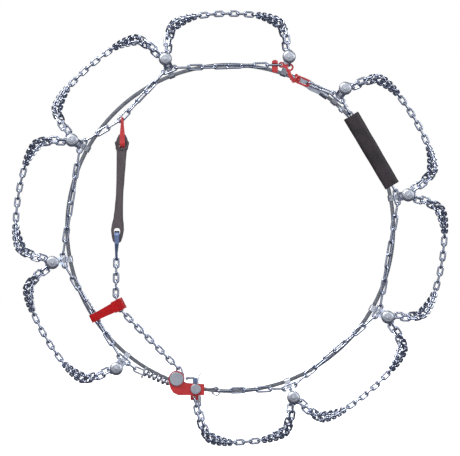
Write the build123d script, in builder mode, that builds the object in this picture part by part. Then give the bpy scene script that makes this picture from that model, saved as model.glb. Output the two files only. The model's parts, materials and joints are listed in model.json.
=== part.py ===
"""Tyre snow chain fitted to a 205/55 R16 wheel, which itself is not part of the model.

Frame: origin at the wheel's centre, Y along its axle with -Y on the outer side, X to the right as seen
from outside, Z up. All sizes are in millimetres and angles run anticlockwise from +X as seen from outside.
"""
from build123d import *
from math import atan2, cos, degrees, radians, sin
import os

os.makedirs("parts", exist_ok=True)

# ---------------------------------------------------------------- driving dimensions
SIDE = 112.0                # distance of both side-chain planes from the wheel's middle plane
CROWN = 322.5               # radius of the chain's centreline on the tread
NODE_R = 267.0              # radius of the rivet at each node
RING_R = 250.0              # radius of the node links and of the inner hoop
PITCH_ANGLE = 40.0          # angle between neighbouring nodes
LEFT_FIRST = 71.0           # node beside the closing hook
RIGHT_FIRST = 50.5          # node on the other side of the closure
GAP = 0.3                   # clearance where one link hangs in the next

SIDE_WIRE, SIDE_LENGTH, SIDE_WIDTH = 3.0, 25.6, 9.8       # side chain link
NET_WIRE, NET_LENGTH, NET_WIDTH = 3.0, 17.6, 9.8          # tread chain link
JUNCTION_R, JUNCTION_WIRE = 6.5, 2.8                      # ring that joins three chain ends

LEFT_NODES = [LEFT_FIRST + PITCH_ANGLE * n for n in range(5)]
RIGHT_NODES = [RIGHT_FIRST - PITCH_ANGLE * n for n in range(4)]
BLOCK_NODE = -100.9         # angle of the cross chain that hangs from the tensioner block
BLOCK_SPAN = 11.5           # its travel around the tyre up to the junction ring
CROSS_SPAN = 12.05          # travel of the other cross chains
ALL_NODES = LEFT_NODES + RIGHT_NODES + [BLOCK_NODE]

OUTER = Plane.XZ.offset(SIDE)          # sketch plane of the outer side: x right, y up, normal to the viewer
AXLE = Vector(0, 1, 0)


# ---------------------------------------------------------------- helpers
def polar(radius, angle, y=-SIDE):
    return Vector(radius * cos(radians(angle)), y, radius * sin(radians(angle)))


def tangent(angle):
    """Direction of growing angle."""
    return Vector(-sin(radians(angle)), 0, cos(radians(angle)))


def outer_point(x, z, y=-SIDE):
    return Vector(x, y, z)


def write(name, part):
    part.label = name
    export_step(part, f"parts/{name}.step")


def chain_link(length, width, wire):
    """One welded link: it lies in XY with its long axis along X."""
    with BuildLine() as loop:
        half = (length - width) / 2
        bend = (width - wire) / 2
        Line((-half, bend), (half, bend))
        RadiusArc((half, bend), (half, -bend), bend)
        Line((half, -bend), (-half, -bend))
        RadiusArc((-half, -bend), (-half, bend), bend)
    with BuildPart() as link:
        with BuildSketch(Plane(origin=(0, bend, 0), z_dir=(1, 0, 0))):
            Circle(wire / 2)
        sweep(path=loop.wires()[0])
    return link.part


def link_place(start, end, normal, own_start=None):
    """Place of a link between two joint points; own_start puts its centre that far from the start."""
    direction = (end - start).normalized()
    middle = (start + end) / 2 if own_start is None else start + direction * own_start
    square = normal - direction * normal.dot(direction)
    return Location(Plane(origin=middle, x_dir=direction, z_dir=square.normalized()))


def copies(places, solid):
    """Several loose copies of one solid as one part."""
    with BuildPart() as group:
        with Locations(*places):
            add(solid)
    return group.part


def march(path, steps):
    """Joint points along a finely divided path, each one step from the last, as far as the path goes."""
    joints = [path[0]]
    index = 1
    for step in steps:
        here = joints[-1]
        while index < len(path) and (path[index] - here).length < step:
            index += 1
        if index == len(path):
            return joints
        before, after = path[index - 1], path[index]
        low, high = 0.0, 1.0
        for _ in range(30):
            middle = (low + high) / 2
            if (before + (after - before) * middle - here).length < step:
                low = middle
            else:
                high = middle
        joints.append(before + (after - before) * high)
    return joints


def fit_slack(path, steps_for):
    """Slack per joint that makes the chain end exactly where its path ends."""
    tight, loose = -1.5, 3.0
    for _ in range(40):
        slack = (tight + loose) / 2
        reached = march(path, steps_for(slack))
        if len(reached) <= len(steps_for(slack)):
            tight = slack
        else:
            loose = slack
    return march(path, steps_for(loose))


def divided(points, piece=0.5):
    """Straight lengths between corner points, finely divided."""
    fine = [points[0]]
    for start, end in zip(points, points[1:]):
        count = max(1, int((end - start).length / piece))
        fine += [start + (end - start) * (n / count) for n in range(1, count + 1)]
    return fine


# ---------------------------------------------------------------- side chain
side_link = chain_link(SIDE_LENGTH, SIDE_WIDTH, SIDE_WIRE)
net_link = chain_link(NET_LENGTH, NET_WIDTH, NET_WIRE)
side_wire_span = SIDE_LENGTH - SIDE_WIRE                      # between a link's two end-wire centres
net_wire_span = NET_LENGTH - NET_WIRE
NEST = SIDE_LENGTH / 2 - 1.5 * SIDE_WIRE - GAP / 2            # a neighbour's end wire inside a node link


def node_side(angle, direction):
    """Where the first side link's end wire sits in the node link, on one side of the node."""
    return polar(RING_R, angle) + tangent(angle) * (NEST * direction)


def side_run(points, count, straight=0):
    """Links between two pins, first and last edge-on; a quarter turn is shared out after `straight` links."""
    path = divided(points)

    def steps(slack):
        pitch = SIDE_LENGTH - 2 * SIDE_WIRE - slack
        end = side_wire_span / 2 + pitch / 2
        return [end] + [pitch] * (count - 2) + [end]

    joints = fit_slack(path, steps)
    twist = 0.0 if count % 2 else 90.0 / (count - 1 - straight)
    places = []
    for n in range(count):
        start, end = joints[n], joints[n + 1]
        direction = (end - start).normalized()
        roll = 90.0 + 90.0 * n + twist * max(0, n - straight)
        normal = AXLE.rotate(Axis((0, 0, 0), tuple(direction)), roll)
        own = None
        if n == 0:
            own = side_wire_span / 2
        if n == count - 1:
            own = (end - start).length - side_wire_span / 2
        places.append(link_place(start, end, normal, own))
    return places


hook_pin = outer_point(75.4, 240.9)           # last link's end wire in the closing hook
eye_centre = outer_point(-21.4, -240.6)       # open eye hook on the tensioner block
eye_radius = 5.5                              # to the centre of its wire
eye_pin = eye_centre + Vector(eye_radius - SIDE_WIRE - GAP, 0, 0)
caught = outer_point(-164.0, 157.4)           # where the tensioner's hook pulls the side chain inwards

left_side = {
    "side_chain_a_b": side_run([node_side(LEFT_NODES[1], -1), hook_pin], 8),
    "side_chain_j_a": side_run([node_side(LEFT_NODES[2], -1), caught, node_side(LEFT_NODES[1], 1)], 8, 3),
    "side_chain_i_j": side_run([node_side(LEFT_NODES[3], -1), node_side(LEFT_NODES[2], 1)], 8),
    "side_chain_h_i": side_run([node_side(LEFT_NODES[4], -1), node_side(LEFT_NODES[3], 1)], 8),
}
right_side = {
    "side_chain_c_d": side_run([node_side(RIGHT_NODES[0], -1), node_side(RIGHT_NODES[1], 1)], 8),
    "side_chain_d_e": side_run([node_side(RIGHT_NODES[1], -1), node_side(RIGHT_NODES[2], 1)], 8),
    "side_chain_e_f": side_run([node_side(RIGHT_NODES[2], -1), node_side(RIGHT_NODES[3], 1)], 8),
    "side_chain_f_block": side_run([node_side(RIGHT_NODES[3], -1), eye_pin], 5),
}
for name, places in {**left_side, **right_side}.items():
    write(name, copies(places, side_link))

linked_nodes = LEFT_NODES[1:] + RIGHT_NODES
node_places = [link_place(polar(RING_R, a) - tangent(a), polar(RING_R, a) + tangent(a), AXLE)
               for a in linked_nodes]
write("node_links", copies(node_places, side_link))

# ---------------------------------------------------------------- tread net
SHOULDER_R = 33.0           # bend of the chain over the tyre's shoulder
SHOULDER_TURN = 82.0        # angle it turns through there
with BuildLine(Plane.YZ) as section:
    crown_r = (SIDE - SHOULDER_R * (1 - cos(radians(SHOULDER_TURN)))) / sin(radians(90 - SHOULDER_TURN))
    crown_rise = crown_r * (1 - cos(radians(90 - SHOULDER_TURN)))
    shoulder_z = CROWN - crown_rise - SHOULDER_R * sin(radians(SHOULDER_TURN))
    wall = Line((-SIDE, NODE_R - 20), (-SIDE, shoulder_z))
    shoulder = JernArc(wall @ 1, wall % 1, SHOULDER_R, -SHOULDER_TURN)
    crown = JernArc(shoulder @ 1, shoulder % 1, crown_r, -(90 - SHOULDER_TURN))
profile = section.wires()[0]
WALL_START = 20.0           # length of the section inside the rivet's radius
OVER = profile.length - WALL_START


TAB_DROP = 11.4             # how far inside the rivets' radius the block's tab hole lies


def net_point(s, node, direction, span, shift=0.0):
    """Point of a cross chain s mm along the tyre's section from the rivet, and the surface normal there."""
    u = (s + WALL_START) / profile.length
    flat = profile @ u
    along = profile % u
    t = s / OVER
    angle = node + direction * span * (1.15 * t - 0.15 * t * abs(t))
    y = flat.Y + shift * min(1.0, max(0.0, (30 - abs(s)) / 20))
    outward = Vector(0, -along.Z, 0) + polar(along.Y, angle, 0)
    return polar(flat.Z, angle, y), outward


def cross_chain(node, direction, span, shift=0.0, from_tab=False):
    """Links from a node over the shoulder to the junction ring at the middle of the tread."""
    start_s = -TAB_DROP if from_tab else -(NET_WIRE + GAP / 2)
    fractions = [n / 600 for n in range(601)]
    samples = [net_point(start_s + (OVER - start_s) * f, node, direction, span, shift) for f in fractions]
    ring_centre = samples[-1][0]
    samples = [s for s in samples if (s[0] - ring_centre).length >= JUNCTION_R]
    path = [s[0] for s in samples]
    count = 15 if from_tab else 14
    first_flat = not from_tab

    def steps(slack):
        tall = NET_LENGTH - 3 * NET_WIRE - 2 * slack
        sizes = []
        for n in range(count):
            flat = (n % 2 == 0) == first_flat
            sizes.append(net_wire_span if flat else tall)
        if from_tab:
            sizes[0] = net_wire_span / 2 + tall / 2
        return sizes

    joints = fit_slack(path, steps)
    places = []
    for n in range(count):
        start, end = joints[n], joints[n + 1]
        middle = (start + end) / 2
        outward = min(samples, key=lambda sample: (sample[0] - middle).length)[1]
        flat = (n % 2 == 0) == first_flat
        normal = outward if flat else (end - start).cross(outward)
        own = net_wire_span / 2 if from_tab and n == 0 else None
        places.append(link_place(start, end, normal, own))
    return places, ring_centre


def mirrored(places):
    """The same links on the inner side of the wheel."""
    result = []
    for place in places:
        plane = Plane(place)
        origin = Vector(plane.origin.X, -plane.origin.Y, plane.origin.Z)
        x_dir = Vector(plane.x_dir.X, -plane.x_dir.Y, plane.x_dir.Z)
        z_dir = Vector(plane.z_dir.X, -plane.z_dir.Y, plane.z_dir.Z)
        result.append(Location(Plane(origin=origin, x_dir=x_dir, z_dir=z_dir)))
    return result


def tread_run(start_angle, end_angle, count):
    """Links along the middle of the tread between two junction rings, upright ones at both ends."""
    samples = [polar(CROWN, start_angle + (end_angle - start_angle) * n / 400, 0) for n in range(401)]
    first, last = samples[0], samples[-1]
    path = [p for p in samples if min((p - first).length, (p - last).length) >= JUNCTION_R]

    def steps(slack):
        tall = NET_LENGTH - 3 * NET_WIRE - 2 * slack
        return [net_wire_span if n % 2 else tall for n in range(count)]

    joints = fit_slack(path, steps)
    places = []
    for n in range(count):
        outward = (joints[n] + joints[n + 1]).normalized()
        places.append(link_place(joints[n], joints[n + 1], outward if n % 2 else AXLE))
    return places


arcs = []
for nodes in (LEFT_NODES, RIGHT_NODES):
    for low, high in zip(nodes, nodes[1:]):
        arcs.append((min(low, high), max(low, high), CROSS_SPAN, False))
arcs.append((BLOCK_NODE, RIGHT_NODES[-1], BLOCK_SPAN, True))

ring_centres = []
for number, (low, high, low_span, from_tab) in enumerate(arcs, 1):
    strands = []
    centres = []
    for node, direction, span, tab in ((low, 1, low_span, from_tab), (high, -1, CROSS_SPAN, False)):
        single = node in (LEFT_NODES[0], LEFT_NODES[4], RIGHT_NODES[0], BLOCK_NODE)
        shift = 0.0 if single else 1.6 * direction
        places, centre = cross_chain(node, direction, span, shift, tab)
        inner, _ = cross_chain(node, direction, span, shift, False) if tab else (places, centre)
        strands += places + mirrored(inner)
        centres.append(degrees(atan2(centre.Z, centre.X)))
        ring_centres.append(centre)
    if centres[1] < centres[0]:
        centres[1] += 360
    run = tread_run(centres[0], centres[1], 3 if from_tab else 7)
    write(f"tread_chain_{number}", copies(strands + run, net_link))
with BuildPart() as ring:
    with BuildSketch(Plane.XZ):
        with Locations((JUNCTION_R, 0)):
            Circle(JUNCTION_WIRE / 2)
    revolve(axis=Axis.Z)
ring_places = [Location(Plane(origin=c, x_dir=(0, 1, 0), z_dir=c.normalized())) for c in ring_centres]
write("junction_rings", copies(ring_places, ring.part))

# ---------------------------------------------------------------- node clips and rivets
CHEEK = 1.2                 # clip sheet
CHEEK_GAP = 5.0             # half the space between a clip's two cheeks
CHEEK_R = 6.4               # rounded end of each cheek
SHANK = 3.0                 # rivet shank
DOME_R, DOME_H = 9.8, 4.2   # rounded outer rivet head


def node_frame(angle, y=-SIDE):
    """At a rivet: X along growing angle, Y outwards from the hub, Z towards the wheel's outer side."""
    return Location(Plane(origin=polar(NODE_R, angle, y), x_dir=-tangent(angle), z_dir=-AXLE))


def clip(held_wire, held_r, fingers):
    """Sheet strap folded round a wire, seen in the node frame; fingers are (centre, width) pairs."""
    fold = held_wire / 2 + 0.25 + CHEEK / 2
    low = held_r - NODE_R
    flat_end = CHEEK_GAP + CHEEK / 2
    with BuildPart() as strap:
        with BuildSketch(Plane.YZ):
            with BuildLine():
                front = Polyline((7.6, flat_end), (-6.5, flat_end), (low, fold))
                back = Polyline((7.6, -flat_end), (-6.5, -flat_end), (low, -fold))
                RadiusArc((low, fold), (low, -fold), -fold)
            trace(line_width=CHEEK)
        extrude(amount=DOME_R, both=True)
        with BuildSketch(Plane.XY):
            Circle(CHEEK_R)
            for centre, width in fingers:
                with Locations((centre, low)):
                    Rectangle(width, 2 * (DOME_R + 6), align=(Align.CENTER, Align.CENTER))
            with Locations((0, DOME_R + 3)):
                Rectangle(4 * DOME_R, 2 * 5.0, mode=Mode.SUBTRACT)
        extrude(amount=SIDE, both=True, mode=Mode.INTERSECT)
        with BuildSketch(Plane.XY):
            Circle(SHANK / 2 + 0.1)
        extrude(amount=SIDE, both=True, mode=Mode.SUBTRACT)
    return strap.part


def rivet(head_r, head_h, tail_r, domed):
    """Headed pin through both cheeks; its outer head is domed on the wheel's outer side."""
    seat = CHEEK_GAP + CHEEK + 0.05
    with BuildPart() as pin:
        with BuildSketch(Plane.XZ):
            with BuildLine():
                if domed:
                    Line((0, seat + head_h), (head_r * 0.45, seat + head_h - 0.5))
                    ThreePointArc((head_r * 0.45, seat + head_h - 0.5),
                                  (head_r * 0.86, seat + head_h * 0.62), (head_r, seat + 0.9))
                    Line((head_r, seat + 0.9), (head_r - 0.4, seat))
                    Line((head_r - 0.4, seat), (SHANK / 2, seat))
                else:
                    Polyline((0, seat + head_h), (head_r - 0.6, seat + head_h), (head_r, seat + head_h * 0.5),
                             (head_r, seat), (SHANK / 2, seat))
                Polyline((SHANK / 2, seat), (SHANK / 2, -seat), (tail_r, -seat), (tail_r, -seat - 1.2),
                         (0, -seat - 1.6), (0, seat + head_h))
            make_face()
        revolve(axis=Axis.Z)
    return pin.part


outer_wire_r = RING_R + (SIDE_WIDTH - SIDE_WIRE) / 2
node_clip = clip(SIDE_WIRE, outer_wire_r, [(-4.4, 4.2), (4.4, 4.2)])
write("node_clips", copies([node_frame(a) for a in linked_nodes], node_clip))
dome = rivet(DOME_R, DOME_H, 4.0, True)
write("dome_rivets", copies([node_frame(a) for a in linked_nodes + [LEFT_FIRST]], dome))

# ---------------------------------------------------------------- inner hoop
CABLE_R = 3.0
COUPLING = (LEFT_FIRST + RIGHT_FIRST) / 2      # angle of the hoop's coupling
CABLE_END = 4.6                                # the cable stops this angle short of the coupling
FERRULE = 5.75                                 # angle of each end piece from the coupling
hoop_start = COUPLING - CABLE_END
with BuildPart() as inner_cable:
    with BuildSketch(Plane(origin=(0, 0, 0), x_dir=polar(1, hoop_start, 0), z_dir=tangent(hoop_start))):
        with Locations((RING_R, SIDE)):
            Circle(CABLE_R)
    revolve(axis=Axis.Y, revolution_arc=360 - 2 * CABLE_END)
write("inner_cable", inner_cable.part)


def inner_frame(angle, radius):
    """On the inner side: X along growing angle, Y outwards from the hub, Z away from the wheel."""
    return Location(Plane(origin=polar(radius, angle, SIDE), x_dir=tangent(angle), z_dir=AXLE))


inner_places = [inner_frame(a, NODE_R) for a in ALL_NODES]
write("inner_clips", copies(inner_places, clip(2 * CABLE_R, RING_R, [(0, 9.0)])))
write("inner_rivets", copies(inner_places, rivet(6.5, 2.2, 4.0, False)))

PIN_X = RING_R * sin(radians(FERRULE))                        # coupling pin seen from either end piece
PIN_Y = RING_R * (cos(radians(FERRULE)) - 1)
BARREL_R, CLEVIS_GAP, CLEVIS_SHEET = 5.2, 2.2, 2.6


def barrel(side):
    """Crimped barrel with a blind bore for the cable; side is +1 when the coupling lies towards -X."""
    with BuildPart() as tube:
        with BuildSketch(Plane.YZ.offset(-6.0 * side)):
            Circle(BARREL_R)
        extrude(amount=13.0 * side)
        with BuildSketch(Plane.YZ.offset(-5.2 * side)):
            Circle(CABLE_R + 0.15)
        extrude(amount=20.0 * side, mode=Mode.SUBTRACT)
    return tube.part


clevis_barrel, hook_barrel = barrel(1), barrel(-1)
with BuildPart() as coupling_clevis:
    add(clevis_barrel)
    with BuildSketch(Plane.XY):
        with BuildLine():
            Polyline((-6.0, -4.5), (-6.0, 4.5), (-PIN_X, PIN_Y + 5.5))
            ThreePointArc((-PIN_X, PIN_Y + 5.5), (-PIN_X - 5.5, PIN_Y), (-PIN_X, PIN_Y - 5.5))
            Line((-PIN_X, PIN_Y - 5.5), (-6.0, -4.5))
        make_face()
    extrude(amount=CLEVIS_GAP + CLEVIS_SHEET, both=True)
    with BuildSketch(Plane.XY):
        with Locations((-PIN_X - 1, 0)):
            Rectangle(2 * (PIN_X - 9.0), 30)
    extrude(amount=CLEVIS_GAP, both=True, mode=Mode.SUBTRACT)
    with BuildSketch(Plane.XY):
        with Locations((-PIN_X, PIN_Y)):
            Circle(2.6)
    extrude(amount=20, both=True, mode=Mode.SUBTRACT)
clevis_place = inner_frame(COUPLING + FERRULE, RING_R)
write("coupling_clevis", copies([clevis_place], coupling_clevis.part))

with BuildPart() as coupling_pin:
    with BuildSketch(Plane.XY.offset(-CLEVIS_GAP - CLEVIS_SHEET - 0.2)):
        with Locations((-PIN_X, PIN_Y)):
            Circle(2.55)
    extrude(amount=2 * (CLEVIS_GAP + CLEVIS_SHEET) + 0.4)
    for height, amount in ((CLEVIS_GAP + CLEVIS_SHEET + 0.2, 1.4), (-CLEVIS_GAP - CLEVIS_SHEET - 0.2, -1.4)):
        with BuildSketch(Plane.XY.offset(height)):
            with Locations((-PIN_X, PIN_Y)):
                Circle(4.0)
        extrude(amount=amount)
write("coupling_pin", copies([clevis_place], coupling_pin.part))

HOOK_LOW, HOOK_HIGH = -2.0, 0.6                # the coupling hook's plate between the clevis cheeks
LATCH_X, LATCH_Y = 11.0, 1.5                   # latch pivot
with BuildPart() as coupling_hook:
    add(hook_barrel)
    with BuildSketch(Plane.XY.offset(HOOK_LOW)):
        with BuildLine():
            Polyline((5.6, -4.5), (5.6, 4.5), (PIN_X + 3, PIN_Y + 6.0), (PIN_X + 7.0, PIN_Y + 2.5),
                     (PIN_X + 6.0, PIN_Y - 5.0), (PIN_X - 3, PIN_Y - 6.5), (5.6, -4.5))
        make_face()
        with Locations((PIN_X, PIN_Y)):
            Circle(2.9, mode=Mode.SUBTRACT)
        with Locations((PIN_X - 0.6, PIN_Y + 8)):
            Rectangle(5.8, 16, rotation=4, mode=Mode.SUBTRACT)
        with Locations((LATCH_X, LATCH_Y)):
            Circle(1.6, mode=Mode.SUBTRACT)
    extrude(amount=HOOK_HIGH - HOOK_LOW)
hook_place = inner_frame(COUPLING - FERRULE, RING_R)
write("coupling_hook", copies([hook_place], coupling_hook.part))

with BuildPart() as coupling_latch:
    with BuildSketch(Plane.XY.offset(HOOK_HIGH + 0.15)):
        with BuildLine():
            Polyline((LATCH_X - 3, LATCH_Y - 2), (LATCH_X - 3, LATCH_Y + 3.5), (PIN_X + 5.0, 6.2),
                     (PIN_X + 5.0, 2.6), (LATCH_X + 4, LATCH_Y - 2.4), (LATCH_X - 3, LATCH_Y - 2))
        make_face()
        with Locations((LATCH_X, LATCH_Y)):
            Circle(1.6, mode=Mode.SUBTRACT)
    extrude(amount=1.1)
write("coupling_latch", copies([hook_place], coupling_latch.part))

rivet_steps = ((HOOK_LOW - 0.1, 1.52, 4.1), (HOOK_LOW - 0.1, 2.6, -1.0), (HOOK_LOW + 4.0, 2.6, 0.8))
with BuildPart() as latch_rivet:
    for height, radius, amount in rivet_steps:
        with BuildSketch(Plane.XY.offset(height)):
            with Locations((LATCH_X, LATCH_Y)):
                Circle(radius)
        extrude(amount=amount)
write("latch_rivet", copies([hook_place], latch_rivet.part))

# ---------------------------------------------------------------- closure
HOOK_SHEET = 2.5
EYE_RIM, EYE_R = 5.8, 3.0                      # eye for the first clip: outer and hole radius
clip_eye = (87.9, 237.2)                       # hole that the first clip's finger passes through
closing_start = node_side(RIGHT_FIRST, 1)
stud = outer_point(100.9, 219.0)               # post that holds the end link
closing_line = (stud - closing_start).normalized()
CLOSING_WIDTH, CLOSING_WIRE = 12.4, 2.8        # the two loose links beside the closure
closing_turns = (65.6, 115.6)                  # how far each is turned about the closing line
END_WIDTH = 12.2                               # red end link

closing_link = chain_link(SIDE_LENGTH, CLOSING_WIDTH, CLOSING_WIRE)
closing_span = SIDE_LENGTH - CLOSING_WIRE
closing_pitch = closing_span - CLOSING_WIRE - 2 * GAP
for number, turn in enumerate(closing_turns):
    middle = closing_start + closing_line * (closing_span / 2 + closing_pitch * number)
    normal = AXLE.rotate(Axis((0, 0, 0), tuple(closing_line)), turn)
    place = link_place(middle - closing_line, middle + closing_line, normal)
    write(f"closing_link_{number + 1}", copies([place], closing_link))

END_PLAY = 1.3                                 # free length between the end link and the stud
END_RISE = 1.3                                 # the end link's clearance in front of the hook's plate
lift_pivot = middle + closing_line * (SIDE_LENGTH / 2 - CLOSING_WIRE - SIDE_WIRE / 2 - 2 * GAP)
end_front = SIDE + HOOK_SHEET / 2 + END_RISE + SIDE_WIRE / 2
reach = stud + closing_line * (END_PLAY + SIDE_WIRE)
end_tip = Vector(reach.X, -end_front, reach.Z)
end_link_wire_span = (end_tip - lift_pivot).length
end_link = chain_link(end_link_wire_span + SIDE_WIRE, END_WIDTH, SIDE_WIRE)
write("end_link", copies([link_place(lift_pivot, end_tip, AXLE)], end_link))

with BuildPart() as closing_hook:
    with BuildSketch(OUTER):
        with Locations((hook_pin.X, hook_pin.Z)):
            Circle(4.4)
        with Locations(clip_eye):
            Circle(EYE_RIM)
        with BuildLine():
            Polyline((hook_pin.X, hook_pin.Z - 0.5), (84.0, 238.5), (88.0, 226.0), (93.5, 217.0),
                     (stud.X, stud.Z - 0.5))
        trace(line_width=5.4)
        with Locations((stud.X, stud.Z)):
            Circle(3.0)
        with BuildLine():
            Line((stud.X - 1, stud.Z), (97.6, 225.2))
        trace(line_width=4.0)
        with Locations((97.6, 225.2)):
            Circle(2.6)
    extrude(amount=HOOK_SHEET / 2, both=True)
    fillet(closing_hook.faces().filter_by(Axis.Y).edges(), 0.4)
    with BuildSketch(OUTER):
        with Locations((hook_pin.X, hook_pin.Z)):
            Circle(1.95)
        with Locations(clip_eye):
            Circle(EYE_R)
    extrude(amount=SIDE / 2, both=True, mode=Mode.SUBTRACT)
    with BuildSketch(OUTER.offset(HOOK_SHEET / 2 - 0.5)):
        with Locations((stud.X, stud.Z)):
            Circle(1.5)
    extrude(amount=6.0)
write("closing_hook", closing_hook.part)

first_rivet = polar(NODE_R, LEFT_FIRST)
eye_line = first_rivet - outer_point(*clip_eye)               # from the hook's eye to the first rivet
first_clip = clip(3.9, NODE_R - eye_line.length + (EYE_RIM + EYE_R) / 2, [(0, 3.0)])
first_frame = Location(Plane(origin=first_rivet, x_dir=eye_line.cross(-AXLE), z_dir=-AXLE))
write("first_clip", copies([first_frame], first_clip))

TAG_X, TAG_Z, TAG_W, TAG_H = 66.0, 238.6, 9.0, 19.0
with BuildPart() as link_tag:
    with BuildSketch(OUTER):
        with Locations((TAG_X, TAG_Z)):
            RectangleRounded(TAG_W, TAG_H, 3.6)
    extrude(amount=3.2)
    with BuildSketch(OUTER):
        with Locations((TAG_X, TAG_Z)):
            RectangleRounded(TAG_W, TAG_H, 3.6)
    extrude(amount=-7.4)
    fillet(link_tag.faces().sort_by(Axis.Y)[0].edges(), 1.2)
    with BuildSketch(OUTER.offset(-SIDE_WIDTH / 2 - 0.3)):
        with Locations((TAG_X, hook_pin.Z)):
            Rectangle(TAG_W + 4, SIDE_WIRE + 1.2)
    extrude(amount=20, mode=Mode.SUBTRACT)
write("link_tag", link_tag.part)

# ---------------------------------------------------------------- chain sleeve
SLEEVE_LENGTH, SLEEVE_W, SLEEVE_T, SLEEVE_WALL = 120.0, 24.0, 14.6, 1.4
run_start, run_end = node_side(RIGHT_NODES[0], -1), node_side(RIGHT_NODES[1], 1)
run_line = (run_end - run_start).normalized()
sleeve_centre = (run_start + run_end) / 2 + run_line * 7.5
sleeve_start = sleeve_centre - run_line * (SLEEVE_LENGTH / 2)
sleeve_plane = Plane(origin=sleeve_start, x_dir=AXLE.cross(run_line), z_dir=run_line)
with BuildPart() as sleeve:
    with BuildSketch(sleeve_plane):
        RectangleRounded(SLEEVE_W, SLEEVE_T, 4.0)
        RectangleRounded(SLEEVE_W - 2 * SLEEVE_WALL, SLEEVE_T - 2 * SLEEVE_WALL, 2.6, mode=Mode.SUBTRACT)
    extrude(amount=SLEEVE_LENGTH)
write("chain_sleeve", sleeve.part)
# ---------------------------------------------------------------- tensioner block
BLOCK_HALF = 8.5            # thickness of each half of the block
SHELL = 2.0                 # wall of its two halves
ROLLER = (-79.2, -222.6)    # axle of the chain roller
PAWL = (-51.0, -237.6)      # pivot of the pawl
ANCHOR = (-79.3, -236.9)    # pin that holds the tension chain's last link
ANCHOR_REACH = BLOCK_HALF - 0.8     # half length of that pin, which stays inside both walls
CHAIN_MOUTH = (-73.0, -215.0)   # opening for the tension chain
PAWL_SLOT = (-50.5, -230.0)     # opening for the pawl and its release tab
TAB_T = 1.2                 # half thickness of the cross-chain tab
AXLE_R, PAWL_R = 2.5, 2.0   # shanks of the roller's axle and the pawl's pivot
tab_hole = net_point(-TAB_DROP, BLOCK_NODE, 1, BLOCK_SPAN)[0]
ROD_IN = (-92.0, -229.0)    # spring plug in the left wall
EYE_AXIS_Z = -237.3         # shank of the eye hook

with BuildSketch(OUTER) as block_outline:
    with Locations(ROLLER):
        Circle(11.8)
    with BuildLine():
        Polyline((-90.9, -224.5), (-88.2, -236.5), (-84.0, -243.0), (-77.0, -246.5), (-38.1, -246.5),
                 (-38.1, -230.6), (-63.5, -229.0), (-79.0, -222.0), (-90.9, -224.5))
    make_face()


def block_half(side):
    """One half of the block: side is +1 for the front half towards the viewer."""
    with BuildPart() as half:
        extrude(block_outline.sketch, amount=BLOCK_HALF * side)
        chamfer(half.faces().sort_by(Axis.Y)[0 if side > 0 else -1].edges(), 0.8)
        with BuildSketch(OUTER):
            offset(block_outline.sketch, amount=-SHELL)
        extrude(amount=(BLOCK_HALF - SHELL) * side, mode=Mode.SUBTRACT)
        with BuildSketch(OUTER):
            with Locations((tab_hole.X, tab_hole.Z + 2.0)):
                RectangleRounded(11.8, 12.0, 1.5)
            with Locations((tab_hole.X, tab_hole.Z)):
                Circle(1.95, mode=Mode.SUBTRACT)
        extrude(amount=TAB_T * side)
        with BuildSketch(OUTER):
            with Locations(CHAIN_MOUTH):
                Rectangle(17.0, 15.0)
        extrude(amount=(BLOCK_HALF - SHELL) * side, mode=Mode.SUBTRACT)
        with BuildSketch(OUTER):
            with Locations(PAWL_SLOT):
                Rectangle(18.0, 6.0)
        extrude(amount=5.6 * side, mode=Mode.SUBTRACT)
        with BuildSketch(OUTER):
            with Locations(ROLLER):
                Circle(AXLE_R + 0.05)
            with Locations(PAWL):
                Circle(PAWL_R + 0.05)
        extrude(amount=SIDE / 2 * side, mode=Mode.SUBTRACT)
        with BuildSketch(OUTER):
            with Locations(ANCHOR):
                Circle(1.55)
        extrude(amount=(ANCHOR_REACH + 0.1) * side, mode=Mode.SUBTRACT)
        with BuildSketch(Plane(origin=(-42.5, -SIDE, EYE_AXIS_Z), x_dir=(0, 1, 1), z_dir=(1, 0, 0))):
            Circle(1.7)
        extrude(amount=12, mode=Mode.SUBTRACT)
        with BuildSketch(spring_plane):
            Circle(3.2)
        extrude(amount=20, both=True, mode=Mode.SUBTRACT)
    return half.part


# The spring's line runs from the first link on the left to the plug in the block's left wall.
link_start = node_side(LEFT_NODES[4], 1)
link_line = polar(1, -38.0, 0)
eye_wire = link_start + link_line * net_wire_span             # the spring link's end wire in the pull eye
plug = outer_point(*ROD_IN)
spring_line = (plug - eye_wire).normalized()
spring_plane = Plane(origin=plug, x_dir=AXLE, z_dir=spring_line)
write("block_front", block_half(1))
write("block_rear", block_half(-1))

write("spring_link", copies([link_place(link_start, eye_wire, polar(1, 52.0, 0))], net_link))

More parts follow.
